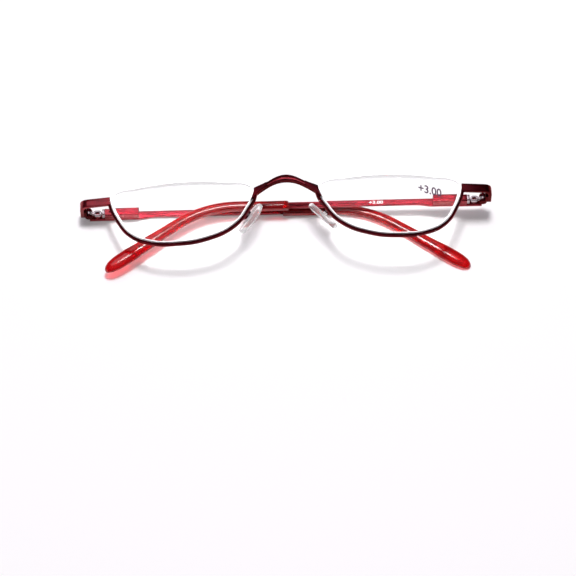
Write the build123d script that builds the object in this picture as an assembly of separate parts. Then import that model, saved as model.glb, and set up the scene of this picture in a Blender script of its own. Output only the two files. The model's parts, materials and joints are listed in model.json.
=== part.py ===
from build123d import *
import math
import os

os.makedirs("parts", exist_ok=True)

# Half eye reading glasses, folded and lying on the back of the left temple.
# X runs along the front, Y is up when the glasses are worn, Z points out of the table.
# Lengths are millimetres and angles are degrees.

# One overrun serves every cut that passes right through a piece
overrun = 1.0

# Lenses: the outline hangs from a corner line that joins the two top corners
lens_half_width = 24.2
lens_drop = 20.4
lens_rise = 2.15
lens_gap = 21.3
lens_wrap = 3.5
lens_front_radius = 130.0
lens_back_radius = 260.0
lens_thickness = 2.9
# Points of the lower edge from the outer top corner to the inner one
lens_edge_shares = [
    (0.992, 0.085),
    (0.977, 0.206),
    (0.887, 0.48),
    (0.722, 0.772),
    (0.462, 0.941),
    (0.088, 1.0),
    (-0.33, 0.939),
    (-0.68, 0.74),
    (-0.881, 0.441),
    (-0.99, 0.095),
]
# The top edge is one arc, which the corner curves meet this far out
top_arc_share = 0.93
top_arc_rise_share = 0.13
# How many points the grown outline takes from the lower edge, a corner, the top and a corner
outline_points = (26, 4, 10, 4)

# Groove round the lens edge, measured back from the lens front
groove_depth = 0.5
groove_width = 0.7
groove_setback = 0.55

# Clear strip between the lens and the metal, and the thread along the top
liner_thickness = 0.5
liner_seat = 0.35
thread_inset = 0.45
thread_proud = 0.1

# Metal wire round the lower part of the lens
rim_clearance = 0.1
rim_width = 1.0
rim_depth = 2.0
rim_proud = 0.15
rim_end_inner = 2.4
rim_end_outer = 2.9

# Bridge
bridge_half_length = 12.0
bridge_crown = 3.1
bridge_rise = 5.3
bridge_waist = 2.25
bridge_under_rise = 7.2
bridge_front = 0.75
bridge_depth = 1.6
bridge_plate_raise = 0.35
bridge_plate_start = 6.4
bridge_lip = 0.65
bridge_groove_depth = 0.4
bridge_top_shares = [(1.0, 0.0), (0.79, 0.226), (0.54, 0.5), (0.29, 0.83), (0.0, 1.0)]
bridge_under_shares = [(1.0, 0.0), (0.89, 0.24), (0.65, 0.57), (0.5, 0.735), (0.29, 0.915), (0.0, 1.0)]

# Hinge pin in the front's own frame, and the corner that carries it
hinge_half_span = 66.2
hinge_drop = 2.7
hinge_setback = 12.8
hinge_height = 2.8
knuckle_radius = 1.2
knuckle_slot = 1.2
knuckle_gap = 0.06
knuckle_round_gap = 0.2
screw_radius = 0.5
screw_clearance = 0.04
screw_head_radius = 0.9
screw_head_height = 0.45
screw_slot_width = 0.25
screw_slot_depth = 0.2
metal_thickness = 1.2
outer_face_offset = 2.7
butt_gap = 0.3
leaf_thickness = 0.8
leaf_length = 3.6

# End piece: a flat bar that leaves the lens, slants back and turns to the hinge
end_piece_lap = 3.0
end_piece_front = 3.2
end_piece_slant = 1.9
end_piece_corner = 3.0

# Temple strip, from the hinge pin to the sleeve, in the temple's own frame
arm_length = 67.3
arm_top = 1.3
arm_height = 2.1
arm_wide_length = 17.0
arm_taper_length = 4.0
arm_softening = 0.3
core_radius = 0.65
core_end_gap = 13.5

# Sleeve over the core wire
tip_thickness = 3.0
tip_half_height = 1.65
tip_lap = 2.0
tip_flat_depth = 0.1
tip_clearance = 0.05
bend_centre = 93.4
bend_radius = 36.0
bend_angle = 32.8
tip_after_bend = 40.5
# Sections of the sleeve: distance along it, height, shift of the middle and thickness
tip_shares = [
    (0.0, 1.0, 0.0, 1.0),
    (0.14, 1.0, 0.0, 1.0),
    (0.27, 1.0, 0.0, 1.0),
    (0.40, 1.02, 0.0, 1.0),
    (0.52, 1.06, -0.01, 1.0),
    (0.64, 1.14, -0.04, 1.0),
    (0.76, 1.32, -0.1, 0.98),
    (0.86, 1.55, -0.16, 0.95),
    (0.93, 1.55, -0.2, 0.9),
    (0.975, 1.15, -0.2, 0.72),
    (1.0, 0.45, -0.2, 0.35),
]
tip_round_share = 0.42

# Spring hinge: knuckle with an eye and a rod, pulled back by a spring inside a box
slider_thickness = 1.4
eye_start = 1.45
eye_length = 2.9
eye_width = 2.0
eye_hole_length = 1.5
eye_hole_width = 0.8
rod_radius = 0.4
rod_clearance = 0.04
nut_radius = 0.8
nut_length = 1.0
nut_end_gap = 1.0
bush_gap = 0.15
bush_flange_length = 0.9
bush_flange_half = 1.15
bush_sleeve_length = 1.2
box_end = 17.0
box_height = 2.7
box_top = 1.3
box_bore_radius = 0.95
box_bore_clearance = 0.02
box_end_wall = 0.6
box_softening = 0.4
box_hole_radius = 0.3
box_hole_inset = 1.6
spring_radius = 0.68
spring_wire_radius = 0.13
spring_turns = 10
spring_end_gap = 0.02

# Nose pads, placed in the front's own frame; each side stands at its own angle
pad_centre_x = 12.0
pad_drop = 9.3
pad_setback = 8.0
pad_half_length = 6.2
pad_half_width = 3.4
pad_thickness = 2.1
pad_rounding = 0.8
pad_lean = {"left": 33.0, "right": 43.0}
pad_splay = {"left": 34.0, "right": 22.0}
insert_length = 4.6
insert_width = 3.0
insert_thickness = 0.6
insert_clearance = 0.02
lug_length = 1.2
lug_width = 1.0
lug_screw_height = 1.35
pad_box_length = 3.0
pad_box_gap = 0.5
pad_box_wall = 0.45
pad_box_side_clearance = 0.1
pad_box_end_clearance = 0.45
pad_box_roof_clearance = 0.15
pad_screw_radius = 0.3
pad_screw_clearance = 0.04
pad_screw_head_radius = 0.5
pad_screw_head_height = 0.25
arm_wire_radius = 0.45
arm_wire_rise = 2.4
arm_wire_lift = 0.5
arm_wire_foot_drop = 5.0
arm_wire_foot_setback = 2.2
arm_wire_foot_inset = 0.4
arm_wire_bend = 1.4

# How the folded pair lies: the right temple slopes down and passes over the left sleeve
right_temple_slope = 0.9
fold_clearance = 1.0

# Sizes that follow from the ones above
lens_middle_x = lens_gap / 2 + lens_half_width
lens_centre_y = (lens_rise - lens_drop) / 2
tip_wall = (tip_thickness - metal_thickness) / 2
arm_lean = math.degrees(math.atan(tip_wall / arm_length))
arm_inner_face = outer_face_offset - metal_thickness
arm_middle_y = arm_top - arm_height / 2
box_start = eye_start + eye_length + bush_gap + bush_flange_length
bend_start = bend_centre - bend_radius * math.tan(math.radians(bend_angle) / 2)
bend_length = bend_radius * math.radians(bend_angle)
tip_start = arm_length - tip_lap
tip_length = bend_start - tip_start + bend_length + tip_after_bend - (bend_centre - bend_start)
right_temple_drop = arm_length * math.sin(math.radians(right_temple_slope))
right_hinge_lift = tip_thickness + fold_clearance + right_temple_drop
front_tilt = math.degrees(math.asin(right_hinge_lift / (2 * hinge_half_span)))


def lens_outline(grow):
    """Closed half eye outline in the lens's own plane, grown by the given amount."""
    edge = [(lens_half_width * x, -lens_drop * y) for x, y in lens_edge_shares]
    top_x = lens_half_width * top_arc_share
    top_y = lens_rise * top_arc_rise_share
    lower = Spline(*edge)
    top = ThreePointArc((-top_x, top_y), (0, lens_rise), (top_x, top_y))
    inner_corner = Spline(lower @ 1, top @ 0, tangents=[lower % 1, top % 0])
    outer_corner = Spline(top @ 1, lower @ 0, tangents=[top % 1, lower % 0])
    points = []
    for curve, count in zip([lower, inner_corner, top, outer_corner], outline_points):
        for step in range(count):
            place = curve @ (step / count)
            heading = curve % (step / count)
            points.append((place.X - grow * heading.Y, place.Y + grow * heading.X))
    return make_face(Spline(*points, periodic=True))


def lens_prism(grow):
    """Block with the lens outline that reaches well past both lens surfaces."""
    return Pos(0, 0, -lens_half_width) * extrude(lens_outline(grow), 2 * lens_half_width)


def behind_front(setback):
    """Ball whose near side lies the given distance behind the lens front."""
    middle = Pos(0, lens_centre_y, -lens_front_radius)
    return middle * Sphere(lens_front_radius - setback)


def edge_ring(inner, outer, setback, depth):
    """Strip that follows the lens edge, from inner to outer of the outline."""
    ring = lens_prism(outer) - lens_prism(inner)
    return ring & behind_front(setback) - behind_front(setback + depth)


def lens_space():
    """Room that the lens takes up inside the metal, a little more than its thickness."""
    slab = behind_front(-rim_proud) - behind_front(lens_thickness)
    return lens_prism(rim_clearance) & slab


def below_rim_ends():
    """Region under the line that joins the two ends of the rim wire."""
    side = 2 * lens_half_width
    corners = [(-side, -rim_end_inner), (side, -rim_end_outer), (side, -side), (-side, -side)]
    return extrude(make_face(Polyline(*corners, close=True)), side, both=True)


def keep_largest(shape):
    """The main solid of a cut that also leaves crumbs."""
    return shape.solids().sort_by(SortBy.VOLUME)[-1]


lens_place = Pos(lens_middle_x, 0, 0) * Rot(0, lens_wrap, 0)


def make_lens():
    back_ball = Pos(0, lens_centre_y, -lens_thickness - lens_back_radius) * Sphere(lens_back_radius)
    body = lens_prism(0) & behind_front(0) - back_ball
    return body - edge_ring(-groove_depth, overrun, groove_setback, groove_width)


def make_rim_wire():
    ring = edge_ring(rim_clearance, rim_clearance + rim_width, -rim_proud, rim_depth)
    seat = edge_ring(-overrun, rim_clearance + liner_seat, groove_setback, groove_width)
    return (ring - seat) & below_rim_ends()


def make_rim_liner():
    setback = groove_setback + (groove_width - liner_thickness) / 2
    ring = edge_ring(-thread_inset, rim_clearance + liner_seat, setback, liner_thickness)
    return ring & below_rim_ends()


def make_top_thread():
    setback = groove_setback + (groove_width - liner_thickness) / 2
    ring = edge_ring(-thread_inset, thread_proud, setback, liner_thickness)
    return ring - below_rim_ends()


def mirrored_spline(shares, half_length, foot, rise):
    side = [(half_length * x, foot + rise * y) for x, y in shares]
    other_side = [(-x, y) for x, y in reversed(side[:-1])]
    return Spline(*(side + other_side))


def bridge_face(lip):
    """Front of the bridge, less a lip along its upper and lower edges."""
    top_foot = bridge_crown - bridge_rise - lip
    under_foot = bridge_crown - bridge_waist - bridge_under_rise + lip
    top = mirrored_spline(bridge_top_shares, bridge_half_length, top_foot, bridge_rise)
    under = mirrored_spline(bridge_under_shares, bridge_half_length, under_foot, bridge_under_rise)
    return make_face([top, Line(top @ 1, under @ 1), under, Line(top @ 0, under @ 0)])


def make_bridge():
    back = Pos(0, 0, -bridge_front - bridge_depth)
    body = back * extrude(bridge_face(0), bridge_depth)
    plates = back * extrude(bridge_face(0), bridge_depth + bridge_plate_raise)
    middle = Box(2 * bridge_plate_start, 4 * bridge_half_length, 4 * bridge_half_length)
    groove = Pos(0, 0, -bridge_front - bridge_groove_depth) * extrude(bridge_face(bridge_lip), overrun)
    body = body + (plates - middle)
    return body - (groove & middle)


def make_end_piece():
    """Flat bar in plan, from the lens edge out to the corner and back to the hinge."""
    inner_x = lens_middle_x + lens_half_width - end_piece_lap
    outer_x = hinge_half_span + outer_face_offset
    corner_z = -end_piece_front - end_piece_slant
    end_z = -hinge_setback + butt_gap
    corners = [(inner_x, -end_piece_front), (outer_x, corner_z), (outer_x, end_z)]
    outer_wall = FilletPolyline(*corners, radius=end_piece_corner)
    bar = offset(outer_wall, metal_thickness, side=Side.RIGHT)
    face = Plane.XZ * make_face(bar)
    solid = extrude(face, hinge_height / 2, both=True)
    return Pos(0, -hinge_drop, 0) * solid


pin_place = Pos(hinge_half_span, -hinge_drop, -hinge_setback)


def pin_cylinder(radius, height, middle_y):
    """Round piece on the hinge pin's line, in a frame whose origin is the pin."""
    return Pos(0, middle_y, 0) * Rot(90, 0, 0) * Cylinder(radius, height)


def make_hinge_front():
    knuckles = pin_cylinder(knuckle_radius, hinge_height, 0)
    leaf_x = arm_inner_face - leaf_thickness / 2
    leaf = Pos(leaf_x, 0, butt_gap + leaf_length / 2) * Box(leaf_thickness, hinge_height, leaf_length)
    slot = pin_cylinder(knuckle_radius + knuckle_round_gap, knuckle_slot, 0)
    hole = pin_cylinder(screw_radius, hinge_height + overrun, 0)
    return knuckles + leaf - slot - hole


def make_hinge_screw():
    shank = pin_cylinder(screw_radius, hinge_height, 0)
    head_y = (hinge_height + screw_head_height) / 2
    head = pin_cylinder(screw_head_radius, screw_head_height, head_y)
    slot_y = hinge_height / 2 + screw_head_height - screw_slot_depth / 2
    slot = Pos(0, slot_y, 0) * Box(2 * screw_head_radius, screw_slot_depth, screw_slot_width)
    return shank + head - slot


# Temple pieces: the hinge pin is the origin, X runs along the temple and Z is its inner side

arm_place = Rot(0, -arm_lean, 0)


def centre_line(distance, aside):
    """Point beside the sleeve's middle line, a distance from its start, and the turn there."""
    straight = bend_start - tip_start
    turn = min(max((distance - straight) / bend_radius, 0), math.radians(bend_angle))
    before = min(distance - straight, 0)
    after = max(distance - straight - bend_length, 0)
    reach = bend_radius + aside
    x = bend_start + reach * math.sin(turn) + before + after * math.cos(turn)
    y = arm_middle_y - bend_radius + reach * math.cos(turn) - after * math.sin(turn)
    return x, y, turn


def tip_section(length_share, height_share, shift_share, thickness_share):
    """Rounded section of the sleeve, a little below the temple's outer plane."""
    x, y, turn = centre_line(tip_length * length_share, tip_half_height * shift_share)
    height = 2 * tip_half_height * height_share
    thick = tip_thickness * thickness_share + tip_flat_depth
    across = (math.sin(turn), math.cos(turn), 0)
    along = (math.cos(turn), -math.sin(turn), 0)
    middle = (x, y, -outer_face_offset - tip_flat_depth + thick / 2)
    plane = Plane(origin=middle, x_dir=across, z_dir=along)
    return plane * RectangleRounded(height, thick, tip_round_share * min(height, thick))


def core_wire(radius):
    """Round wire along the middle of the sleeve."""
    middle_z = -outer_face_offset + tip_thickness / 2
    angle = math.radians(bend_angle)
    bend_end = (bend_start + bend_radius * math.sin(angle), bend_radius * (math.cos(angle) - 1))
    run = tip_after_bend - bend_radius * math.tan(angle / 2) - core_end_gap
    far = (bend_end[0] + run * math.cos(angle), bend_end[1] - run * math.sin(angle))
    halfway = (
        bend_start + bend_radius * math.sin(angle / 2),
        bend_radius * (math.cos(angle / 2) - 1),
    )
    first = Line((arm_length - tip_lap, 0), (bend_start, 0))
    bend = ThreePointArc((bend_start, 0), halfway, bend_end)
    last = Line(bend_end, far)
    path = Wire([first, bend, last])
    section = Plane(origin=path @ 0, z_dir=path % 0) * Circle(radius)
    return Pos(0, arm_middle_y, middle_z) * sweep(section, path=path)


def strip(gap):
    """Flat temple strip, or with a gap the pocket that holds its end."""
    foot = -hinge_height / 2
    low = arm_top - arm_height
    wide_end = arm_wide_length
    narrow_start = arm_wide_length + arm_taper_length
    corners = [
        (butt_gap, foot - gap),
        (wide_end, foot - gap),
        (narrow_start, low - gap),
        (arm_length + gap, low - gap),
        (arm_length + gap, arm_top + gap),
        (butt_gap, arm_top + gap),
    ]
    face = make_face(Polyline(*corners, close=True))
    thick = metal_thickness + 2 * gap
    return Pos(0, 0, -outer_face_offset - gap) * extrude(face, thick)


def make_temple_arm():
    bar = strip(0)
    bar = fillet(bar.edges().filter_by(Axis.X), arm_softening)
    return arm_place * bar + core_wire(core_radius)


def make_temple_tip():
    """Sleeve with a rounded paddle at its end, cut flat along its outer side."""
    body = loft([tip_section(*shares) for shares in tip_shares])
    beyond_x = tip_start + tip_length
    below = Pos(beyond_x, 0, -outer_face_offset - beyond_x / 2) * Box(4 * beyond_x, 2 * beyond_x, beyond_x)
    body = body - below
    return body - core_wire(core_radius + tip_clearance) - arm_place * strip(tip_clearance)


def rod_piece(radius, start, end):
    """Round piece on the rod's line."""
    return Pos((start + end) / 2, 0, 0) * Rot(0, 90, 0) * Cylinder(radius, end - start)


box_inner_end = box_end - box_end_wall
rod_end = box_inner_end - nut_end_gap
sleeve_end = box_start + bush_sleeve_length


def make_hinge_slider():
    knuckle = pin_cylinder(knuckle_radius, knuckle_slot - 2 * knuckle_gap, 0)
    neck_length = eye_start + eye_width / 2
    neck = Pos(neck_length / 2, 0, 0) * Box(neck_length, knuckle_slot - 2 * knuckle_gap, slider_thickness)
    eye_x = eye_start + eye_length / 2
    eye = Pos(eye_x, 0, 0) * extrude(SlotOverall(eye_length, eye_width), slider_thickness / 2, both=True)
    rod = rod_piece(rod_radius, eye_start + eye_length - eye_width / 2, rod_end)
    eye_hole = Pos(eye_x, 0, 0) * extrude(SlotOverall(eye_hole_length, eye_hole_width), slider_thickness, both=True)
    hole = pin_cylinder(screw_radius + screw_clearance, hinge_height, 0)
    rod = rod - Pos(eye_x, 0, 0) * Box(eye_hole_length, eye_hole_width, slider_thickness)
    return knuckle + neck + eye + rod - eye_hole - hole


def make_slider_nut():
    ring = rod_piece(nut_radius, rod_end - nut_length, rod_end)
    return ring - rod_piece(rod_radius, 0, box_end)


def make_rod_bush():
    flange_x = box_start - bush_flange_length / 2
    flange_half = 2 * bush_flange_half
    flange = Pos(flange_x, 0, 0) * Box(bush_flange_length, flange_half, flange_half)
    sleeve = rod_piece(box_bore_radius - box_bore_clearance, box_start, sleeve_end)
    return flange + sleeve - rod_piece(rod_radius + rod_clearance, 0, box_end)


def make_spring_box():
    length = box_end - box_start
    depth = box_top + arm_inner_face
    middle_z = (box_top - arm_inner_face) / 2
    block = Pos(box_start + length / 2, 0, middle_z) * Box(length, box_height, depth)
    upper_edges = block.edges().filter_by(Axis.X).group_by(Axis.Z)[-1]
    far_edges = block.edges().group_by(Axis.X)[-1].filter_by(Axis.Y).sort_by(Axis.Z)[-1:]
    block = fillet(upper_edges + far_edges, box_softening)
    bore = rod_piece(box_bore_radius, box_start - overrun, box_inner_end)
    hole = Pos(box_start + box_hole_inset, 0, box_top) * Cylinder(box_hole_radius, 2 * (box_top - nut_radius))
    return block - bore - hole


def make_hinge_spring():
    start = sleeve_end + spring_end_gap + spring_wire_radius
    end = rod_end - nut_length - spring_end_gap - spring_wire_radius
    pitch = (end - start) / spring_turns
    path = Helix(pitch, end - start, spring_radius)
    section = Plane(origin=path @ 0, z_dir=path % 0) * Circle(spring_wire_radius)
    return Pos(start, 0, 0) * Rot(0, 90, 0) * sweep(section, path=path, is_frenet=True)


# Nose pads: X is the pad's long axis, and Z points away from the nose


def pad_plane(side):
    lean = math.radians(pad_lean[side])
    splay = math.radians(pad_splay[side])
    long_axis = (-math.sin(lean), math.cos(lean), 0)
    outward = (
        math.cos(lean) * math.cos(splay),
        math.sin(lean) * math.cos(splay),
        math.sin(splay),
    )
    centre = (pad_centre_x, -pad_drop, -pad_setback)
    return Plane(origin=centre, x_dir=long_axis, z_dir=outward)


pad_face_z = pad_thickness / 2
pad_screw_z = pad_face_z + lug_screw_height
pad_box_start = pad_face_z + pad_box_gap
pad_box_cavity_top = pad_screw_z + lug_length / 2 + pad_box_roof_clearance
pad_box_top = pad_box_cavity_top + pad_box_wall
pad_box_cavity_width = lug_width + 2 * pad_box_side_clearance
pad_box_width = pad_box_cavity_width + 2 * pad_box_wall


def across_pad(radius, length, middle_y):
    """Round piece on the line of the pad screw."""
    return Pos(0, middle_y, pad_screw_z) * Rot(90, 0, 0) * Cylinder(radius, length)


def block(length, width, low, high):
    """Block on the pad's middle, between two heights."""
    return Pos(0, 0, (low + high) / 2) * Box(length, width, high - low)


def make_nose_pad():
    body = extrude(Ellipse(pad_half_length, pad_half_width), pad_face_z, both=True)
    body = fillet(body.edges().filter_by(GeomType.ELLIPSE), pad_rounding)
    gap = 2 * insert_clearance
    pocket = block(insert_length + gap, insert_width + gap, pad_face_z - insert_thickness, pad_face_z + overrun)
    return body - pocket


def make_pad_insert():
    plate = block(insert_length, insert_width, pad_face_z - insert_thickness, pad_face_z)
    lug = block(lug_length, lug_width, pad_face_z - insert_thickness, pad_screw_z)
    lug_end = across_pad(lug_length / 2, lug_width, 0)
    hole = across_pad(pad_screw_radius + pad_screw_clearance, pad_box_width, 0)
    return plate + lug + lug_end - hole


def make_pad_box():
    outside = block(pad_box_length, pad_box_width, pad_box_start, pad_box_top)
    outside = fillet(outside.edges().filter_by(Axis.Z), pad_box_wall / 2)
    cavity_length = lug_length + 2 * pad_box_end_clearance
    cavity = block(cavity_length, pad_box_cavity_width, pad_box_start - overrun, pad_box_cavity_top)
    hole = across_pad(pad_screw_radius, pad_box_width + overrun, 0)
    return outside - cavity - hole


def make_pad_screw():
    shank = across_pad(pad_screw_radius, pad_box_width, 0)
    head_y = (pad_box_width + pad_screw_head_height) / 2
    return shank + across_pad(pad_screw_head_radius, pad_screw_head_height, head_y)


def make_pad_arm(side, rim_wire):
    """Bent wire from the inner side of the rim to the upper end of the pad box."""
    plane = pad_plane(side)
    wire_z = (pad_box_start + pad_box_top) / 2
    inside_box = plane.from_local_coords((0, 0, wire_z))
    above_box = plane.from_local_coords((pad_box_length / 2 + arm_wire_rise, 0, wire_z + arm_wire_lift))
    rim_inner_x = lens_gap / 2 - rim_clearance - rim_width / 2
    foot = (rim_inner_x + arm_wire_foot_inset, -arm_wire_foot_drop, -arm_wire_foot_setback)
    path = FilletPolyline(inside_box, above_box, foot, radius=arm_wire_bend)
    section = Plane(origin=path @ 0, z_dir=path % 0) * Circle(arm_wire_radius)
    wire = sweep(section, path=path)
    inside = plane * block(pad_box_length, pad_box_width, pad_box_start, pad_box_top)
    return keep_largest(wire - inside - rim_wire - lens_place * lens_space())


def front_pieces():
    """Pieces of one half of the front that both sides share, on the +X side."""
    end_piece = keep_largest(make_end_piece() - lens_place * lens_prism(rim_clearance))
    solder_block = make_bridge() + end_piece
    return {
        "lens": lens_place * make_lens(),
        "rim_wire": keep_largest(lens_place * make_rim_wire() - solder_block),
        "rim_liner": keep_largest(lens_place * make_rim_liner() - solder_block),
        "top_thread": keep_largest(lens_place * make_top_thread()),
        "end_piece": end_piece,
        "hinge_front": pin_place * make_hinge_front(),
        "hinge_screw": pin_place * make_hinge_screw(),
    }


def pad_pieces(side, rim_wire):
    """Nose pad and what holds it, on the +X side."""
    plane = pad_plane(side)
    return {
        "pad_arm": make_pad_arm(side, rim_wire),
        "pad_box": plane * make_pad_box(),
        "pad_screw": plane * make_pad_screw(),
        "nose_pad": plane * make_nose_pad(),
        "pad_insert": plane * make_pad_insert(),
    }


def temple_pieces():
    """Pieces of one temple, lying along +X with its inner side up."""
    return {
        "hinge_slider": arm_place * make_hinge_slider(),
        "slider_nut": arm_place * make_slider_nut(),
        "rod_bush": arm_place * make_rod_bush(),
        "spring_box": arm_place * make_spring_box(),
        "hinge_spring": arm_place * make_hinge_spring(),
        "temple_arm": make_temple_arm(),
        "temple_tip": make_temple_tip(),
    }


# Assembly: the front is tilted, and each temple hangs on its own pin
front_place = Rot(0, -front_tilt, 0)
right_pin = (front_place * pin_place).position
left_pin = (front_place * Pos(-hinge_half_span, -hinge_drop, -hinge_setback)).position
left_temple_place = Pos(left_pin)
right_temple_place = Pos(right_pin) * Rot(0, -right_temple_slope, 0)

parts = {}
trimmed_bridge = make_bridge() - lens_place * lens_prism(rim_clearance)
trimmed_bridge = trimmed_bridge - mirror(lens_place * lens_prism(rim_clearance), Plane.YZ)
parts["bridge"] = front_place * keep_largest(trimmed_bridge)
shared_pieces = front_pieces()
right_pieces = shared_pieces | pad_pieces("right", shared_pieces["rim_wire"])
left_pieces = shared_pieces | pad_pieces("left", shared_pieces["rim_wire"])
for name, shape in right_pieces.items():
    parts["right_" + name] = front_place * shape
for name, shape in left_pieces.items():
    parts["left_" + name] = front_place * mirror(shape, Plane.YZ)
for name, shape in temple_pieces().items():
    parts["left_" + name] = left_temple_place * shape
    parts["right_" + name] = right_temple_place * mirror(shape, Plane.YZ)

# The origin is the middle of the bottom of the whole object's box
boxes = [shape.bounding_box() for shape in parts.values()]
low_x, high_x = min(box.min.X for box in boxes), max(box.max.X for box in boxes)
low_y, high_y = min(box.min.Y for box in boxes), max(box.max.Y for box in boxes)
to_origin = Pos(-(low_x + high_x) / 2, -(low_y + high_y) / 2, -min(box.min.Z for box in boxes))
for name, shape in parts.items():
    export_step(to_origin * shape, "parts/" + name + ".step")
print("front tilt", front_tilt)
print("left hinge pin", (to_origin * Pos(left_pin)).position)
print("right hinge pin", (to_origin * Pos(right_pin)).position)
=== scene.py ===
import bpy
import bmesh
import json
import math
from mathutils import Matrix, Vector


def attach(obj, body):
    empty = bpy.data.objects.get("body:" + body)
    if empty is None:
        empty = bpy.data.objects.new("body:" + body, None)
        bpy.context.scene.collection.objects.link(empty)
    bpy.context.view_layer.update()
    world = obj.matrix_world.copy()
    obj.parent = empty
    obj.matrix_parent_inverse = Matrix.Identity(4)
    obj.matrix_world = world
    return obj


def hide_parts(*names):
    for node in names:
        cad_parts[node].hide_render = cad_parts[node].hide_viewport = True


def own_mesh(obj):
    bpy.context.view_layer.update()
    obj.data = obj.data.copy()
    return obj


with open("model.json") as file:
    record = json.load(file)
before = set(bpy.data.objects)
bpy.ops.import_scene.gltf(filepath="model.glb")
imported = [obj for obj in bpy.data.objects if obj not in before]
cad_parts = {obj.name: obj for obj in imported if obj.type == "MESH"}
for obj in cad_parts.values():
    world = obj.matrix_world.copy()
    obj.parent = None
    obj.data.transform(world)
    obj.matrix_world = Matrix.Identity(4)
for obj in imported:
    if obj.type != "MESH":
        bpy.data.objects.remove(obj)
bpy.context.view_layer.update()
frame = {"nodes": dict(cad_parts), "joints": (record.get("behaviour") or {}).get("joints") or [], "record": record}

# Half eye reading glasses, folded, on a white table. Sizes are millimetres until a piece is placed.
mm = 0.001
pins = {joint["name"]: Vector(joint["pos_m"]) for joint in frame["joints"] if "pos_m" in joint}

# Lens outline and surfaces, as the solids have them
lens_half_width, lens_drop, lens_rise = 24.2, 20.4, 2.15
lens_middle_x, lens_centre_y, lens_wrap = 34.85, -9.125, 3.5
lens_front_radius, lens_back_radius, lens_thickness = 130.0, 260.0, 2.9
lens_edge_shares = [
    (0.992, 0.085), (0.977, 0.206), (0.887, 0.48), (0.722, 0.772), (0.462, 0.941),
    (0.088, 1.0), (-0.33, 0.939), (-0.68, 0.74), (-0.881, 0.441), (-0.99, 0.095),
]
top_arc_share, top_arc_rise_share, top_arc_points = 0.93, 0.13, 7
outline_steps = 8
rim_end_y = {-1: -2.4, 1: -2.9}

# Edge of the lens: bevel, thread groove, white ground band on the back and its polished shoulder
lens_edge_bevel, lens_edge_back, lens_fan_rise = 0.12, 1.4, 1.5
groove_depth, groove_front, groove_back = 0.5, 0.55, 1.25
ground_band, shoulder_width = 1.0, 0.16
lens_ring_shares = [0.02, 0.14, 0.27, 0.4, 0.53, 0.66, 0.78, 0.88, 0.95]

# Hinge pin in the front's frame, and the slopes of the front and of the upper temple
pin_in_front = Vector((66.2, -2.7, -12.8))
front_tilt, right_temple_slope = 2.18898, 0.9

# Sleeve over the end of the temple
arm_length, tip_lap, arm_middle_y, outer_face = 67.3, 2.0, 0.25, -2.7
bend_centre, bend_radius, bend_angle, tip_after_bend = 93.4, 36.0, math.radians(32.8), 40.5
tip_half_height, tip_thickness, arm_thickness = 1.65, 3.0, 1.2
tip_swell, table_gap = 0.05, 0.005
bend_start = bend_centre - bend_radius * math.tan(bend_angle / 2)
tip_start = arm_length - tip_lap
bend_length = bend_radius * bend_angle
tip_length = bend_start - tip_start + bend_length + tip_after_bend - (bend_centre - bend_start)
tip_shares = [
    (0.0, 0.86, 0.0, 0.8), (0.004, 0.97, 0.0, 0.94), (0.012, 1.0, 0.0, 1.0), (0.14, 1.0, 0.0, 1.0),
    (0.27, 1.0, 0.0, 1.0), (0.40, 1.02, 0.0, 1.0), (0.52, 1.06, -0.01, 1.0), (0.64, 1.14, -0.04, 1.0),
    (0.76, 1.32, -0.1, 0.98), (0.86, 1.53, -0.16, 0.95), (0.93, 1.5, -0.2, 0.9), (0.97, 1.18, -0.2, 0.76),
    (0.99, 0.75, -0.2, 0.52), (0.998, 0.35, -0.2, 0.26),
]
tip_even_until_share, tip_even_from_share = 0.4, 0.9
tip_mouth_shares, tip_end_shares = [0, 0.004, 0.012], [0.97, 0.98, 0.987, 0.993, 0.998]
tip_body_end_share, tip_body_steps = 0.96, 46
sleeve_squareness, paddle_squareness = 2.4, 2.1
paddle_from_share, paddle_full_share = 0.55, 0.8

# Floor of the bridge's groove and the nose pads, in the front's frame; the groove floor's upward faces take a
# painted highlight
bridge_groove_z, groove_floor_margin, facing_up = -1.15, 0.06, 0.9
pad_centre = Vector((12.0, -9.3, -8.0))
pad_lean = {"left": 33.0, "right": 43.0}
pad_splay = {"left": 34.0, "right": 22.0}
pad_half_length, pad_half_width, pad_half_thickness = 6.2, 3.4, 1.05
pad_least_share, pad_points, pad_squareness, core_squareness = 0.06, 48, 2.15, 5.0
pad_profile_shares = [
    (0.06, -1.0), (0.3, -0.99), (0.52, -0.95), (0.7, -0.88), (0.84, -0.74), (0.93, -0.54), (0.98, -0.3),
    (1.0, 0.0), (0.985, 0.35), (0.94, 0.66), (0.88, 0.86), (0.81, 0.97), (0.76, 1.0),
]
core_half_length, core_half_width = 2.32, 1.52
pocket_half_length, pocket_chamfer, pocket_depth, pocket_middle = 2.34, 0.08, 0.62, 0.3

# Printed numbers: size and place on the right lens and along the right arm
ink_thickness, letter_weight, letter_lean = 0.02, 0.018, 0.05
lens_print_size, lens_print_place, lens_print_slope = (7.7, 3.1), (13.1, -4.55), -0.25
arm_print_size, arm_print_place = (4.7, 1.15), (35.9, 0.2)
arm_slope = (tip_thickness - arm_thickness) / 2 / arm_length

# Table and light, in metres
table_half_size, table_glow, shadow_reach, white_reach = 3.0, 0.13, 0.14, 0.34
panel_direction, panel_strength = Vector((-0.14, 0.43, 0.88)).normalized(), 1.6
picture_width = 576

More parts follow.
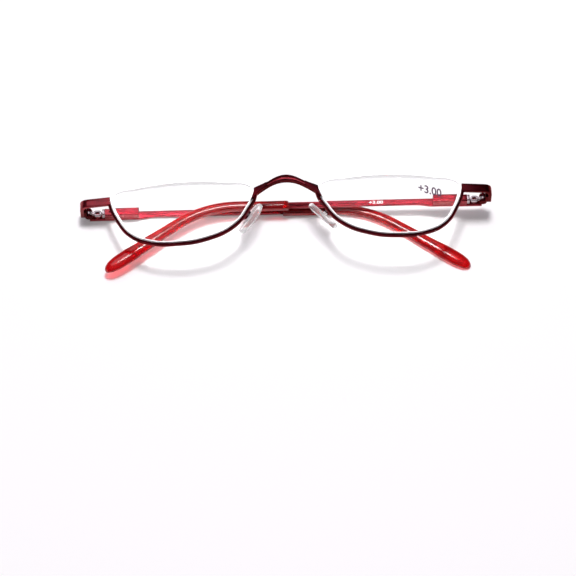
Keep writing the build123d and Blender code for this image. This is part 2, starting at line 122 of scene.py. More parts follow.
scale_to_metres = Matrix.Scale(mm, 4)
front_turn = Matrix.Rotation(math.radians(-front_tilt), 4, "Y")
front_origin = pins["right_temple_fold"] / mm - front_turn @ pin_in_front
front_place = scale_to_metres @ Matrix.Translation(front_origin) @ front_turn
mirror_x = Matrix.Scale(-1, 4, (1, 0, 0))
side_of = {"right": front_place, "left": front_place @ mirror_x}
lens_place = Matrix.Translation((lens_middle_x, 0, 0)) @ Matrix.Rotation(math.radians(lens_wrap), 4, "Y")
right_turn = Matrix.Rotation(math.radians(-right_temple_slope), 4, "Y")
temple_of = {
    "left": scale_to_metres @ Matrix.Translation(pins["left_temple_fold"] / mm),
    "right": scale_to_metres @ Matrix.Translation(pins["right_temple_fold"] / mm) @ right_turn @ mirror_x,
}


# Materials


def add_node(tree, kind, **values):
    """A shader node whose sockets, or else its settings, take the given values."""
    node = tree.nodes.new(kind)
    for key, value in values.items():
        if key in node.inputs:
            node.inputs[key].default_value = value
        else:
            setattr(node, key, value)
    return node


class Finish:
    """A material under construction: its node tree and its main shader."""

    def __init__(self, name):
        self.material = bpy.data.materials.new(name)
        self.material.use_nodes = True
        self.tree = self.material.node_tree
        self.shader = self.tree.nodes["Principled BSDF"]
        self.output = self.tree.nodes["Material Output"]
        self.place = self.add("ShaderNodeTexCoord").outputs["Object"]

    def add(self, kind, **values):
        return add_node(self.tree, kind, **values)

    def link(self, output, target):
        self.tree.links.new(output, target)

    def set(self, **values):
        for key, value in values.items():
            self.shader.inputs[key.replace("_", " ")].default_value = value

    def noise(self, size, detail=3.0, stretch=(1, 1, 1), roughness=0.55):
        """Noise whose grains are about the given size in millimetres."""
        mapping = self.add("ShaderNodeMapping", Scale=[1 / (size * mm * s) for s in stretch])
        self.link(self.place, mapping.inputs["Vector"])
        node = self.add("ShaderNodeTexNoise", Scale=1.0, Detail=detail, Roughness=roughness)
        self.link(mapping.outputs["Vector"], node.inputs["Vector"])
        return node.outputs["Fac"]

    def ramp(self, source, stops):
        """Colour ramp through (place, colour) stops."""
        node = self.add("ShaderNodeValToRGB")
        while len(node.color_ramp.elements) < len(stops):
            node.color_ramp.elements.new(1.0)
        for element, (place, colour) in zip(node.color_ramp.elements, stops):
            element.position = place
            element.color = (*colour, 1)
        self.link(source, node.inputs["Fac"])
        return node.outputs["Color"]

    def spread(self, source, low, high, start=0.3, end=0.7):
        """A value that runs from low to high as the source runs from start to end."""
        limits = {"From Min": start, "From Max": end, "To Min": low, "To Max": high}
        node = self.add("ShaderNodeMapRange", **limits)
        self.link(source, node.inputs["Value"])
        return node.outputs["Result"]

    def paint(self, source, low, high):
        """Base colour between two tones."""
        self.link(self.ramp(source, [(0.3, low), (0.7, high)]), self.shader.inputs["Base Color"])

    def bump(self, source, height, previous=None):
        """Bump of the given height in millimetres."""
        node = self.add("ShaderNodeBump", Strength=1.0, Distance=height * mm)
        self.link(source, node.inputs["Height"])
        if previous is not None:
            self.link(previous, node.inputs["Normal"])
        return node.outputs["Normal"]

    def through_light(self, colour, share):
        """Lets a tinted part of the light through to the shadow, as clear plastic does."""
        clear = self.add("ShaderNodeBsdfTransparent", Color=(*colour, 1))
        mix = self.add("ShaderNodeMixShader")
        rays = self.add("ShaderNodeLightPath")
        amount = self.add("ShaderNodeMath", operation="MULTIPLY")
        amount.inputs[1].default_value = share
        self.link(rays.outputs["Is Shadow Ray"], amount.inputs[0])
        self.link(amount.outputs[0], mix.inputs["Fac"])
        self.link(self.shader.outputs["BSDF"], mix.inputs[1])
        self.link(clear.outputs["BSDF"], mix.inputs[2])
        self.link(mix.outputs["Shader"], self.output.inputs["Surface"])


def lacquered_metal(name, coat, stops):
    """Wine red see-through lacquer over bright metal, a little darker where it lies thick."""
    finish = Finish(name)
    finish.set(Metallic=0.92, Specular_Tint=(0.95, 0.3, 0.36, 1))
    finish.set(Coat_Weight=coat, Coat_Roughness=0.08, Coat_IOR=1.5)
    colour = finish.ramp(finish.noise(5.0, 4.0), stops)
    specks = finish.ramp(finish.noise(0.16, 2.0), [(0.40, (0.80, 0.74, 0.76)), (0.62, (1.12, 1.12, 1.12))])
    mix = finish.add("ShaderNodeMix", data_type="RGBA", blend_type="MULTIPLY")
    mix.inputs[0].default_value = 1.0
    finish.link(colour, mix.inputs[6])
    finish.link(specks, mix.inputs[7])
    finish.link(mix.outputs[2], finish.shader.inputs["Base Color"])
    streaks = finish.noise(0.5, 4.0, stretch=(9, 1, 1))
    finish.link(finish.spread(streaks, 0.16, 0.34), finish.shader.inputs["Roughness"])
    peel = finish.bump(finish.noise(0.7, 2.0), 0.012)
    finish.link(finish.bump(finish.noise(0.14, 2.0), 0.004, peel), finish.shader.inputs["Normal"])
    return finish.material


def tip_plastic():
    """Bright red see-through plastic, polished, with faint flow lines inside."""
    finish = Finish("red_tip_plastic")
    finish.set(Transmission_Weight=0.62, IOR=1.48, Specular_IOR_Level=0.4)
    finish.paint(finish.noise(3.5, 4.0), (0.36, 0.0005, 0.0022), (0.56, 0.0010, 0.004))
    finish.link(finish.spread(finish.noise(0.9, 4.0), 0.05, 0.14), finish.shader.inputs["Roughness"])
    finish.link(finish.bump(finish.noise(1.4, 2.0), 0.01), finish.shader.inputs["Normal"])
    finish.through_light((0.85, 0.10, 0.14), 0.8)
    return finish.material


def lens_clear():
    """Polished clear lens, with hardly visible waves from the polishing."""
    finish = Finish("clear_lens")
    finish.set(Transmission_Weight=1.0, IOR=1.15)
    finish.paint(finish.noise(9.0, 2.0), (0.985, 0.99, 0.99), (1, 1, 1))
    finish.link(finish.spread(finish.noise(0.8, 3.0), 0.0, 0.012), finish.shader.inputs["Roughness"])
    finish.link(finish.bump(finish.noise(6.0, 2.0), 0.0012), finish.shader.inputs["Normal"])
    finish.through_light((0.985, 0.985, 0.985), 1.0)
    return finish.material


def lens_ground_edge():
    """Fine ground edge of the lens, matt and white."""
    finish = Finish("ground_lens_edge")
    finish.set(IOR=1.5, Roughness=0.6)
    grain = finish.noise(0.12, 3.0)
    finish.paint(grain, (0.94, 0.93, 0.95), (1.0, 1.0, 1.0))
    finish.link(finish.bump(grain, 0.01), finish.shader.inputs["Normal"])
    finish.through_light((0.9, 0.9, 0.9), 0.8)
    return finish.material


def clear_plastic(name, low, high, transmission, ior, roughness, size, bump, shadow, glow=0.0):
    """Clear nylon, silicone or hard plastic, which differ in haze and in surface; glow is a painted glow, a faint
    light the plastic gives off itself.
    """
    finish = Finish(name)
    finish.set(Transmission_Weight=transmission, IOR=ior)
    finish.set(Emission_Color=(1, 0.98, 1, 1), Emission_Strength=glow)
    finish.paint(finish.noise(size, 3.0), low, high)
    grain = finish.noise(size / 6, 3.0)
    finish.link(finish.spread(grain, roughness, roughness * 2), finish.shader.inputs["Roughness"])
    finish.link(finish.bump(grain, bump), finish.shader.inputs["Normal"])
    finish.through_light((0.9, 0.88, 0.9), shadow)
    return finish.material


def steel():
    """Bright turned steel with fine tool marks."""
    finish = Finish("bright_steel")
    finish.set(Metallic=1.0)
    marks = finish.noise(0.08, 3.0, stretch=(1, 8, 1))
    finish.paint(finish.noise(1.2, 3.0), (0.40, 0.33, 0.35), (0.66, 0.60, 0.61))
    finish.link(finish.spread(marks, 0.14, 0.3), finish.shader.inputs["Roughness"])
    finish.link(finish.bump(marks, 0.004), finish.shader.inputs["Normal"])
    return finish.material


def edge_shoulder():
    """Narrow polished step where the ground edge ends; its grey colour is painted shade that draws it as a grey
    line.
    """
    finish = Finish("lens_edge_shoulder")
    finish.set(Transmission_Weight=0.3, IOR=1.5)
    grain = finish.noise(0.5, 3.0)
    # Painted shade: a grey base colour for the line along the step
    finish.paint(grain, (0.62, 0.60, 0.63), (0.76, 0.74, 0.77))
    finish.link(finish.spread(grain, 0.1, 0.25), finish.shader.inputs["Roughness"])
    finish.through_light((0.8, 0.8, 0.8), 0.8)
    return finish.material


def print_ink(name, low, high):
    """Thin printed ink with a slightly broken edge to its tone."""
    finish = Finish(name)
    grain = finish.noise(0.2, 3.0)
    finish.paint(grain, low, high)
    finish.link(finish.spread(grain, 0.35, 0.55), finish.shader.inputs["Roughness"])
    finish.link(finish.bump(grain, 0.003), finish.shader.inputs["Normal"])
    return finish.material


lacquer = lacquered_metal(
    "wine_red_lacquer", coat=0.6,
    stops=[(0.3, (0.27, 0.008, 0.017)), (0.52, (0.34, 0.014, 0.027)), (0.72, (0.42, 0.024, 0.040))],
)
# Darker copies of the same wine red lacquer, which carry painted shade on the rims, bridge, hinge fronts, pad
# arms, pad boxes, end pieces and the core wire inside the sleeves
painted_shade_lacquer = lacquered_metal(
    "painted_shade_wine_lacquer", coat=0.06,
    stops=[(0.3, (0.035, 0.0003, 0.002)), (0.52, (0.06, 0.0006, 0.004)), (0.72, (0.11, 0.0012, 0.007))],
)
half_shade_lacquer = lacquered_metal(
    "half_shade_red_lacquer", coat=0.5,
    stops=[(0.3, (0.15, 0.002, 0.008)), (0.52, (0.22, 0.005, 0.013)), (0.72, (0.32, 0.010, 0.022))],
)
red_plastic = tip_plastic()
lens_glass = lens_clear()
ground_edge = lens_ground_edge()
shoulder = edge_shoulder()
nylon = clear_plastic(
    "clear_nylon_thread", low=(0.96, 0.96, 0.97), high=(1.0, 1.0, 1.0), transmission=0.3, ior=1.4,
    roughness=0.25, size=1.5, bump=0.004, shadow=0.85,
)
# The silicone pads carry a faint painted glow, a light of their own that no lamp gives them
silicone = clear_plastic(
    "clear_silicone_pad", low=(0.97, 0.97, 0.98), high=(1.0, 1.0, 1.0), transmission=0.95, ior=1.33,
    roughness=0.04, size=2.0, bump=0.01, shadow=0.8, glow=0.05,
)
hard_clear = clear_plastic(
    "clear_pad_core", low=(0.90, 0.90, 0.92), high=(0.97, 0.97, 0.98), transmission=0.95, ior=1.36,
    roughness=0.03, size=2.0, bump=0.003, shadow=0.75,
)
bright_steel = steel()
dark_ink = print_ink("plum_print", (0.05, 0.02, 0.05), (0.10, 0.05, 0.09))
white_ink = print_ink("white_print", (0.82, 0.78, 0.78), (0.92, 0.9, 0.9))
material_of_slot = {
    "lacquered_metal": lacquer, "lens": lens_glass, "clear_nylon": nylon, "clear_silicone": silicone,
    "clear_plastic": hard_clear, "steel": bright_steel, "tip_plastic": red_plastic,
}
slot_of_node = {part["node"]: part["material_slot"] for part in frame["record"]["subparts"]}
bodies = frame["record"]["behaviour"]["bodies"]
body_of_node = {node: body for body, nodes in bodies.items() for node in nodes}


# Mesh helpers: what counts as one point, as flat and as a sharp edge

merge_distance, flat_angle, sharp_edge_angle = 0.002, math.radians(0.6), math.radians(35.0)


def finish_piece(bm, name, place, materials, body, replaces=(), sharp_angle=40.0):
    """Places the shape, turns its faces outwards and makes it a riding piece."""
    bmesh.ops.transform(bm, matrix=place, verts=bm.verts)
    bmesh.ops.recalc_face_normals(bm, faces=bm.faces)
    mesh = bpy.data.meshes.new(name)
    for face in bm.faces:
        face.smooth = True
    bm.to_mesh(mesh)
    bm.free()
    if sharp_angle:
        mesh.set_sharp_from_angle(angle=math.radians(sharp_angle))
    piece = bpy.data.objects.new(name, mesh)
    bpy.context.scene.collection.objects.link(piece)
    for material in materials:
        mesh.materials.append(material)
    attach(piece, body)
    if replaces:
        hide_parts(*replaces)
    return piece


def add_ring(bm, points):
    """Closed ring of edges through the given points."""
    ring = bmesh.ops.create_circle(bm, segments=len(points), radius=1.0, cap_ends=False)["verts"]
    for vert, point in zip(ring, points):
        vert.co = point
    return ring


def loft(rings, caps=True, materials_of=None):
    """Closed shape through rings that have equally many points."""
    bm = bmesh.new()
    previous = None
    for index, points in enumerate(rings):
        ring = add_ring(bm, points)
        members = set(ring)
        edges = [edge for edge in bm.edges if edge.verts[0] in members and edge.verts[1] in members]
        if previous:
            made = bmesh.ops.bridge_loops(bm, edges=previous + edges)["faces"]
            if materials_of:
                for face in made:
                    face.material_index = materials_of(index)
        elif caps:
            bmesh.ops.contextual_create(bm, geom=edges)
        previous = edges
    if caps:
        bmesh.ops.contextual_create(bm, geom=previous)
    return bm


def rounded_section(half_width, half_height, count, power):
    """Points of a rounded rectangle, from an ellipse at power 2 to a squarer form above it."""
    points = []
    for index in range(count):
        angle = 2 * math.pi * (index + 0.5) / count
        c, s = math.cos(angle), math.sin(angle)
        points.append((
            half_width * math.copysign(abs(c) ** (2 / power), c),
            half_height * math.copysign(abs(s) ** (2 / power), s),
        ))
    return points


def dressed(node, edge_round, material=None, segments=2, shortest=0.0):
    """A copy of a solid's mesh with its sharp edges of at least the shortest length softly rounded."""
    bm = bmesh.new()
    bm.from_mesh(frame["nodes"][node].data)
    bmesh.ops.remove_doubles(bm, verts=bm.verts, dist=merge_distance * mm)
    bmesh.ops.dissolve_limit(bm, angle_limit=flat_angle, verts=bm.verts, edges=bm.edges)
    edges = [
        edge for edge in bm.edges
        if len(edge.link_faces) == 2 and edge.calc_face_angle() > sharp_edge_angle
        and edge.calc_length() > shortest * mm
    ]
    if edge_round and edges:
        bmesh.ops.bevel(
            bm, geom=edges, offset=edge_round * mm, segments=segments, profile=0.5, affect="EDGES",
            clamp_overlap=True, material=-1,
        )
    slot = slot_of_node[node]
    materials = [material or material_of_slot[slot]]
    return finish_piece(
        bm, node + "_finished", Matrix.Identity(4), materials, body_of_node[node], [node],
    )


def second_material(piece, place, material, chosen):
    """The faces that chosen picks by centre and normal, in the place's frame, take a second material."""
    piece.data.materials.append(material)
    to_place = place.inverted()
    for polygon in piece.data.polygons:
        normal = (to_place.to_3x3() @ polygon.normal).normalized()
        polygon.material_index = int(chosen(to_place @ polygon.center, normal))


def shorten_spring(piece):
    """Gives the coil spring, which sits between bush and nut, a mesh of its own."""
    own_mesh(piece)


# Lens outline as a smooth closed curve through the shares


def lens_outline():
    points = [(lens_half_width * x, -lens_drop * y) for x, y in lens_edge_shares]
    top_y = lens_rise * top_arc_rise_share
    top_x = lens_half_width * top_arc_share
    arc_radius = (top_x ** 2 + (lens_rise - top_y) ** 2) / (2 * (lens_rise - top_y))
    for index in range(top_arc_points):
        x = top_x * (index / (top_arc_points // 2) - 1)
        points.append((x, lens_rise - arc_radius + math.sqrt(arc_radius ** 2 - x ** 2)))
    curve = bpy.data.curves.new("lens_outline", "CURVE")
    curve.dimensions = "2D"
    curve.fill_mode = "NONE"
    curve.resolution_u = outline_steps
    spline = curve.splines.new("BEZIER")
    spline.bezier_points.add(len(points) - 1)
    spline.use_cyclic_u = True
    for place, (x, y) in zip(spline.bezier_points, points):
        place.co = (x, y, 0)
        place.handle_left_type = place.handle_right_type = "AUTO"
    helper = bpy.data.objects.new("lens_outline", curve)
    bpy.context.scene.collection.objects.link(helper)
    bpy.context.view_layer.update()
    made = helper.evaluated_get(bpy.context.evaluated_depsgraph_get())
    mesh = bpy.data.meshes.new_from_object(made)
    outline = [Vector((vert.co.x, vert.co.y, 0)) for vert in mesh.vertices]
    bpy.data.objects.remove(helper)
    bpy.data.meshes.remove(mesh)
    return outline


outline = lens_outline()
outline_count = len(outline)
outline_normals = []
for index in range(outline_count):
    run = outline[(index + 1) % outline_count] - outline[index - 1]
    outline_normals.append(Vector((-run.y, run.x, 0)).normalized())
if outline_normals[0].dot(outline[0] - Vector((0, lens_centre_y, 0))) < 0:
    outline_normals = [-normal for normal in outline_normals]


def sphere_z(point, radius):
    return math.sqrt(radius ** 2 - point.x ** 2 - (point.y - lens_centre_y) ** 2) - radius


def edge_ring(grow, setback):
    """The outline grown in its plane, the given distance behind the lens front."""
    ring = []
    for point, normal in zip(outline, outline_normals):
        place = point + normal * grow
        ring.append(Vector((place.x, place.y, sphere_z(place, lens_front_radius) - setback)))
    return ring


def inner_ring(share, inset, back):
    """A ring on one of the lens surfaces, drawn towards the middle of the lens."""
    middle = Vector((0, lens_centre_y + lens_fan_rise, 0))
    ring = []
    for point, normal in zip(outline, outline_normals):
        place = middle + (point - normal * inset - middle) * share
        radius = lens_back_radius if back else lens_front_radius
        ring.append(Vector((place.x, place.y, sphere_z(place, radius) - (lens_thickness if back else 0))))
    return ring


def make_lens(side):
    """Lens with a thread groove round its edge and a white ground band round its back."""
    rings = [inner_ring(share, 0, False) for share in lens_ring_shares]
    rings += [edge_ring(-lens_edge_bevel, 0.0), edge_ring(0, lens_edge_bevel)]
    ground_from = len(rings)
    rings += [edge_ring(0, groove_front), edge_ring(-groove_depth, groove_front)]
    rings += [edge_ring(-groove_depth, groove_back), edge_ring(0, groove_back), edge_ring(0, lens_edge_back)]
    rings += [inner_ring(1.0, ground_band - shoulder_width, True)]
    ground_to = len(rings) - 1
    rings += [inner_ring(1.0, ground_band, True)]
    rings += [inner_ring(share, ground_band, True) for share in reversed(lens_ring_shares)]

    def material_of(index):
        if index in (ground_from - 1, ground_to + 1):
            return 2
        return int(ground_from <= index <= ground_to)

    materials = [lens_glass, ground_edge, shoulder]
    name = side + "_lens"
    return finish_piece(
        loft(rings, materials_of=material_of), name + "_polished", side_of[side] @ lens_place, materials,
        "front", [name], sharp_angle=25.0,
    )


least_end_share = 0.05


def along_edge(side, kind, grow, setback, half_width, half_depth, below, points, squareness, material):
    """A strip or wire that follows the lens edge, below or above the ends of the rim."""
    kept = []
    for index, point in enumerate(outline):
        end_y = rim_end_y[1 if point.x > 0 else -1]
        kept.append((point.y < end_y) == below)
    start = next(i for i in range(outline_count) if kept[i] and not kept[i - 1])
    order = [(start + step) % outline_count for step in range(sum(kept))]
    order = [(start - 1) % outline_count] + order + [(order[-1] + 1) % outline_count]
    places = [(outline[index], outline_normals[index]) for index in order]
    for end, inner in ((0, 1), (-1, -2)):
        (outside, outside_normal), (inside, inside_normal) = places[end], places[inner]
        end_y = rim_end_y[1 if inside.x > 0 else -1]
        share = (end_y - inside.y) / (outside.y - inside.y)
        place = inside.lerp(outside, min(max(share, least_end_share), 1))
        places[end] = (place, inside_normal.lerp(outside_normal, share).normalized())
    rings = []
    section = rounded_section(half_width, half_depth, points, squareness)
    for place, normal in places:
        ring = []
        for across, depth in section:
            spot = place + normal * (grow + across)
            middle = place + normal * grow
            ring.append(Vector((spot.x, spot.y, sphere_z(middle, lens_front_radius) - setback + depth)))
        rings.append(ring)
    name = side + "_" + kind
    return finish_piece(
        loft(rings), name + "_smooth", side_of[side] @ lens_place, [material], "front",
        [name], sharp_angle=60.0,
    )


# Temple sleeve


def along_sleeve(distance, aside):
    """Point beside the sleeve's middle line, and the turn there."""
    straight = bend_start - tip_start
    turn = min(max((distance - straight) / bend_radius, 0), bend_angle)
    before = min(distance - straight, 0)
    after = max(distance - straight - bend_length, 0)
    reach = bend_radius + aside
    x = bend_start + reach * math.sin(turn) + before + after * math.cos(turn)
    y = arm_middle_y - bend_radius + reach * math.cos(turn) - after * math.sin(turn)
    return x, y, turn


def tip_value(share, column):
    """The sleeve's height, shift or thickness share, eased between the listed places."""
    for low, high in zip(tip_shares, tip_shares[1:]):
        if share <= high[0]:
            t = (share - low[0]) / (high[0] - low[0])
            if high[0] >= tip_even_until_share and low[0] <= tip_even_from_share:
                t = t * t * (3 - 2 * t)
            return low[column] + (high[column] - low[column]) * t
    return tip_shares[-1][column]


def make_tip(side):
    """Sleeve that follows the temple's bend and widens to a flat paddle at its end."""
    start, end = tip_mouth_shares[-1], tip_body_end_share
    body = [start + (end - start) * step / tip_body_steps for step in range(1, tip_body_steps + 1)]
    rings = []
    for share in tip_mouth_shares + body + tip_end_shares:
        height, shift, thick = (tip_value(share, column) for column in (1, 2, 3))
        x, y, turn = along_sleeve(tip_length * share, tip_half_height * shift)
        half_thick = tip_thickness * thick / 2
        middle_z = outer_face + half_thick
        paddle = (share - paddle_from_share) / (paddle_full_share - paddle_from_share)
        squareness = sleeve_squareness + (paddle_squareness - sleeve_squareness) * min(max(paddle, 0), 1)
        ring = []
        for across, up in rounded_section(tip_half_height * height, half_thick + tip_swell, 28, squareness):
            z = max(middle_z + up, outer_face + table_gap)
            ring.append(Vector((x + across * math.sin(turn), y + across * math.cos(turn), z)))
        rings.append(ring)
    name = side + "_temple_tip"
    return finish_piece(
        loft(rings), name + "_sleeve", temple_of[side], [red_plastic], side + "_temple",
        [name], sharp_angle=75.0,
    )


# Nose pads


def pad_place(side):
    lean, splay = math.radians(pad_lean[side]), math.radians(pad_splay[side])
    long_axis = Vector((-math.sin(lean), math.cos(lean), 0))
    sideways = Vector((math.cos(lean), math.sin(lean), 0))
    outward = sideways * math.cos(splay) + Vector((0, 0, math.sin(splay)))
    across = outward.cross(long_axis)
    turn = Matrix((long_axis, across, outward)).transposed().to_4x4()
    return side_of[side] @ Matrix.Translation(pad_centre) @ turn


def make_pad(side):
    """Soft oval pad: domed towards the nose, with a pocket in its back for the hard core."""
    rings = []
    for share, height in pad_profile_shares:
        edge = (1 - share) * pad_half_width
        half_length = pad_half_length * max(1 - edge / pad_half_length, pad_least_share)
        points = rounded_section(half_length, pad_half_width * share, pad_points, pad_squareness)
        rings.append([Vector((x, y, height * pad_half_thickness)) for x, y in points])
    floor_z = pad_half_thickness - pocket_depth
    for half_length, z in (
        (pocket_half_length + pocket_chamfer, pad_half_thickness),
        (pocket_half_length, pad_half_thickness - pocket_chamfer),
        (pocket_half_length, floor_z),
        (pocket_middle, floor_z),
    ):
        half_width = half_length * core_half_width / core_half_length
        points = rounded_section(half_length, half_width, pad_points, core_squareness)
        rings.append([Vector((x, y, z)) for x, y in points])
    name = side + "_nose_pad"
    return finish_piece(
        loft(rings), name + "_soft", pad_place(side), [silicone], side + "_pad",
        [name], sharp_angle=50.0,
    )


# Printed numbers


def printed(text, name, size, layout, surface, place, body, material):
    """Numbers as a thin layer of ink; surface lifts each point on to what carries them."""
    words = bpy.data.curves.new(name, "FONT")
    words.body = text
    words.resolution_u = 4
    words.offset = letter_weight
    helper = bpy.data.objects.new(name + "_words", words)
    bpy.context.scene.collection.objects.link(helper)
    bpy.context.view_layer.update()
    made = helper.evaluated_get(bpy.context.evaluated_depsgraph_get())
    mesh = bpy.data.meshes.new_from_object(made)
    bpy.data.objects.remove(helper)
    bm = bmesh.new()
    bm.from_mesh(mesh)
    bpy.data.meshes.remove(mesh)
    bmesh.ops.remove_doubles(bm, verts=bm.verts, dist=1e-4)
    low = Vector((min(v.co.x for v in bm.verts), min(v.co.y for v in bm.verts), 0))
    high = Vector((max(v.co.x for v in bm.verts), max(v.co.y for v in bm.verts), 0))
    fit = Matrix.Diagonal((size[0] / (high.x - low.x), size[1] / (high.y - low.y), 1, 1))
    bmesh.ops.transform(bm, matrix=layout @ fit @ Matrix.Translation(-(low + high) / 2), verts=bm.verts)
    made = bmesh.ops.extrude_face_region(bm, geom=list(bm.faces), use_keep_orig=True)["geom"]
    lifted = {item for item in made if isinstance(item, bmesh.types.BMVert)}
    for vert in bm.verts:
        vert.co.z = surface(vert.co) + (ink_thickness if vert in lifted else ink_thickness / 4)
    return finish_piece(bm, name, place, [material], body, sharp_angle=30.0)


def slanted(x, y, slope, flip=1):
    """Layout of a line of numbers whose base line slopes while the strokes stay upright."""
    layout = Matrix.Translation((x, y, 0)) @ Matrix.Diagonal((flip, 1, 1, 1))
    layout[1][0] = slope
    layout[0][1] = letter_lean * flip
    return layout


printed(
    "+3.00", "right_lens_power_print", lens_print_size, slanted(*lens_print_place, lens_print_slope),
    lambda spot: sphere_z(spot, lens_front_radius), side_of["right"] @ lens_place, "front", dark_ink,
)
printed(
    "+3.00", "right_arm_power_print", arm_print_size, slanted(*arm_print_place, 0.0, -1),
    lambda spot: outer_face + arm_thickness + arm_slope * spot.x, temple_of["right"], "right_temple",
    white_ink,
)

# Strips along the lens edge: how far out and back they lie, their section and their finish
edge_strips = {
    "rim_wire": dict(
        grow=0.6, setback=0.85, half_width=0.5, half_depth=1.0, below=True, points=20, squareness=2.3,
        # painted shade: the rim wire takes the darkest copy of the lacquer
        material=painted_shade_lacquer,
    ),
    "rim_liner": dict(
        grow=-0.05, setback=0.9, half_width=0.4, half_depth=0.25, below=True, points=12, squareness=2.6,
        material=nylon,
    ),
    "top_thread": dict(
        grow=-0.16, setback=0.9, half_width=0.27, half_depth=0.25, below=False, points=12, squareness=2.2,
        material=nylon,
    ),
}
for side in ("left", "right"):
    make_lens(side)
    for kind, strip in edge_strips.items():
        along_edge(side, kind, **strip)
    make_tip(side)
    make_pad(side)

# Solids whose edges are rounded, and by how much
edge_rounds = {
    "end_piece": 0.22, "hinge_front": 0.12, "hinge_screw": 0.06, "pad_box": 0.08, "pad_screw": 0.05,
    "hinge_slider": 0.12, "slider_nut": 0.06, "rod_bush": 0.12, "spring_box": 0.5, "pad_insert": 0.06,
    "pad_arm": 0, "hinge_spring": 0, "temple_arm": 0.22,
}
bridge_round, core_wire_overrun = 0.12, 0.3
only_long_edges = {"spring_box": 1.5, "temple_arm": 3.0}
round_segments = {"spring_box": 3}
# Painted shade: hinge fronts, hinge screws, pad arms and pad boxes take the darkest copy of the lacquer, the left
# end piece a half dark copy and the right end piece the darkest
painted_shade_of_kind = {
    "hinge_front": painted_shade_lacquer, "hinge_screw": painted_shade_lacquer, "end_piece": half_shade_lacquer,
    "pad_arm": painted_shade_lacquer, "pad_box": painted_shade_lacquer,
}
painted_shade_of_piece = {"right_end_piece": painted_shade_lacquer}


# Painted highlight: the upward faces of the bridge's groove floor take the lighter lacquer
def groove_floor_highlight(centre, normal):
    return abs(centre.z - bridge_groove_z) < groove_floor_margin and normal.z > facing_up


# Painted shade: the core wire inside the sleeve takes the darkest lacquer where the red plastic covers it
def sleeve_core_shade(centre, _normal):
    return centre.x > tip_start + core_wire_overrun


# The bridge carries painted shade in the darkest lacquer, with a painted highlight on its groove floor
second_material(dressed("bridge", bridge_round, painted_shade_lacquer), front_place, lacquer, groove_floor_highlight)
for side in ("left", "right"):
    for kind, edge_round in edge_rounds.items():
        node = side + "_" + kind
        tone = painted_shade_of_piece.get(node, painted_shade_of_kind.get(kind))
        piece = dressed(node, edge_round, tone, round_segments.get(kind, 2), only_long_edges.get(kind, 0.0))
        if kind == "hinge_spring":
            shorten_spring(piece)
        if kind == "temple_arm":
            second_material(piece, temple_of[side], painted_shade_lacquer, sleeve_core_shade)


# Table, light and camera


def math_of(tree, operation, first, second):
    """Result of a Math node on an output and on another output or a plain number."""
    node = add_node(tree, "ShaderNodeMath", operation=operation)
    tree.links.new(first, node.inputs[0])
    if isinstance(second, float):
        node.inputs[1].default_value = second
    else:
        tree.links.new(second, node.inputs[1])
    return node.outputs[0]


def ray_share(tree, first, *others):
    """1 for rays of the named kinds and 0 for all others."""
    rays = add_node(tree, "ShaderNodeLightPath")
    share = rays.outputs[first]
    for kind in others:
        share = math_of(tree, "MAXIMUM", share, rays.outputs[kind])
    return share


def mixed(tree, share, first, second):
    """From the first shader at share 0 to the second at share 1."""
    node = add_node(tree, "ShaderNodeMixShader")
    for socket, source in zip(node.inputs, (share, first, second)):
        tree.links.new(source, socket)
    return node.outputs[0]


def make_table():
    """White table that keeps the shadows and fades to plain white further away."""
    bm = bmesh.new()
    bmesh.ops.create_grid(bm, x_segments=1, y_segments=1, size=table_half_size)
    mesh = bpy.data.meshes.new("table")
    bm.to_mesh(mesh)
    bm.free()
    table = bpy.data.objects.new("table", mesh)
    bpy.context.scene.collection.objects.link(table)
    material = bpy.data.materials.new("white_table")
    material.use_nodes = True
    tree = material.node_tree
    tree.nodes.clear()
    seen = ray_share(tree, "Is Camera Ray", "Is Glossy Ray", "Is Transmission Ray")
    surface = add_node(tree, "ShaderNodeBsdfDiffuse", Color=(0.80, 0.785, 0.80, 1))
    glow = add_node(tree, "ShaderNodeEmission", Color=(1, 1, 0.99, 1))
    tree.links.new(math_of(tree, "MULTIPLY", seen, table_glow), glow.inputs["Strength"])
    near = add_node(tree, "ShaderNodeAddShader")
    tree.links.new(surface.outputs[0], near.inputs[0])
    tree.links.new(glow.outputs[0], near.inputs[1])
    away = add_node(tree, "ShaderNodeVectorMath", operation="LENGTH")
    tree.links.new(add_node(tree, "ShaderNodeTexCoord").outputs["Object"], away.inputs[0])
    fade = add_node(tree, "ShaderNodeMapRange", **{"From Min": shadow_reach, "From Max": white_reach})
    tree.links.new(away.outputs["Value"], fade.inputs["Value"])
    far_share = math_of(tree, "MULTIPLY", fade.outputs["Result"], seen)
    far = add_node(tree, "ShaderNodeEmission", Color=(1, 1, 1, 1), Strength=1.0)
    output = add_node(tree, "ShaderNodeOutputMaterial")
    tree.links.new(mixed(tree, far_share, near.outputs[0], far.outputs[0]), output.inputs["Surface"])
    mesh.materials.append(material)


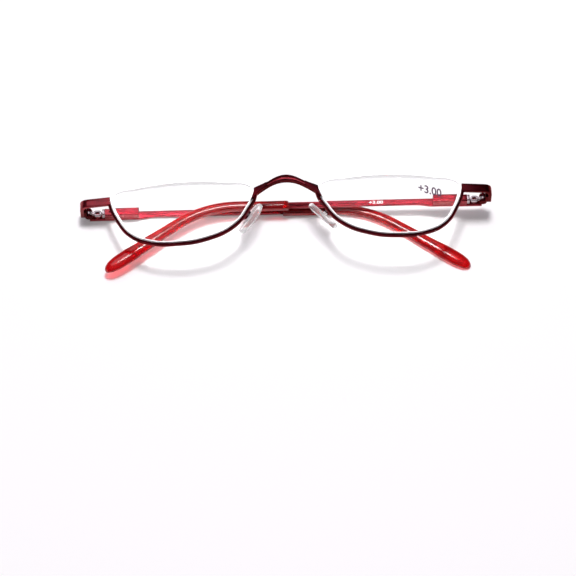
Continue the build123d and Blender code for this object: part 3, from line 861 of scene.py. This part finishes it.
def make_world():
    """Studio round the table: dim walls, a pale horizon and a soft panel above the far side."""
    world = bpy.data.worlds.new("studio")
    bpy.context.scene.world = world
    world.use_nodes = True
    tree = world.node_tree
    background = tree.nodes["Background"]
    place = add_node(tree, "ShaderNodeTexCoord").outputs["Generated"]
    split = add_node(tree, "ShaderNodeSeparateXYZ")
    tree.links.new(place, split.inputs[0])

    def levels(source, stops):
        ramp = add_node(tree, "ShaderNodeValToRGB")
        while len(ramp.color_ramp.elements) < len(stops):
            ramp.color_ramp.elements.new(1.0)
        for element, (height, level) in zip(ramp.color_ramp.elements, stops):
            element.position = height
            element.color = (level, level * 0.93, level * 1.02, 1)
        tree.links.new(source, ramp.inputs["Fac"])
        return ramp.outputs["Color"]

    wall_levels = [(0.0, 0.8), (0.05, 0.8), (0.14, 0.1), (0.5, 0.08), (0.75, 0.16), (0.95, 0.3)]
    walls = levels(split.outputs["Z"], wall_levels)
    toward = add_node(tree, "ShaderNodeVectorMath", operation="DOT_PRODUCT")
    toward.inputs[1].default_value = panel_direction
    tree.links.new(place, toward.inputs[0])
    panel = add_node(tree, "ShaderNodeVectorMath", operation="SCALE", Scale=panel_strength)
    panel_levels = [(0.925, 0.0), (0.965, 0.85), (1.0, 1.0)]
    tree.links.new(levels(toward.outputs["Value"], panel_levels), panel.inputs[0])
    total = add_node(tree, "ShaderNodeVectorMath", operation="ADD")
    tree.links.new(walls, total.inputs[0])
    tree.links.new(panel.outputs[0], total.inputs[1])
    tree.links.new(total.outputs[0], background.inputs["Color"])
    background.inputs["Strength"].default_value = 1.0
    white = add_node(tree, "ShaderNodeBackground", Color=(1, 1, 1, 1))
    seen = ray_share(tree, "Is Camera Ray", "Is Transmission Ray")
    shown = mixed(tree, seen, background.outputs[0], white.outputs[0])
    tree.links.new(shown, tree.nodes["World Output"].inputs["Surface"])


def make_lamp(name, location, target, size, energy):
    """Round soft lamp that lights the scene and isn't mirrored in the metal."""
    data = bpy.data.lights.new(name, "AREA")
    data.shape = "DISK"
    data.size = size
    data.energy = energy
    lamp = bpy.data.objects.new(name, data)
    lamp.location = location
    lamp.visible_glossy = False
    lamp.rotation_euler = (Vector(target) - Vector(location)).to_track_quat("-Z", "Y").to_euler()
    bpy.context.scene.collection.objects.link(lamp)


def make_camera(azimuth, elevation, roll, distance, pixels_per_mm, target):
    """Camera at the photograph's angle. Distance and target are in millimetres."""
    a, e, r = (math.radians(angle) for angle in (azimuth, elevation, roll))
    back = Vector((math.sin(a) * math.cos(e), -math.cos(a) * math.cos(e), math.sin(e)))
    right = Vector((math.cos(a), math.sin(a), 0))
    up = back.cross(right)
    right, up = right * math.cos(r) + up * math.sin(r), up * math.cos(r) - right * math.sin(r)
    data = bpy.data.cameras.new("camera")
    data.sensor_width = 36.0
    data.lens = pixels_per_mm * distance / picture_width * data.sensor_width
    data.clip_start, data.clip_end = 0.05, 20.0
    camera = bpy.data.objects.new("camera", data)
    bpy.context.scene.collection.objects.link(camera)
    place = Matrix((right, up, back)).transposed().to_4x4()
    place.translation = (Vector(target) + back * distance) * mm
    camera.matrix_world = place
    bpy.context.scene.camera = camera


make_table()
make_world()
make_lamp("ceiling_softbox", location=(0.0, 0.25, 1.18), target=(0, 0, 0), size=0.26, energy=12.4)
make_camera(
    azimuth=-7.021, elevation=63.527, roll=4.997, distance=1200.0, pixels_per_mm=2.997,
    target=(-0.277, -19.449, 0),
)
bpy.context.scene.view_settings.view_transform = "Standard"
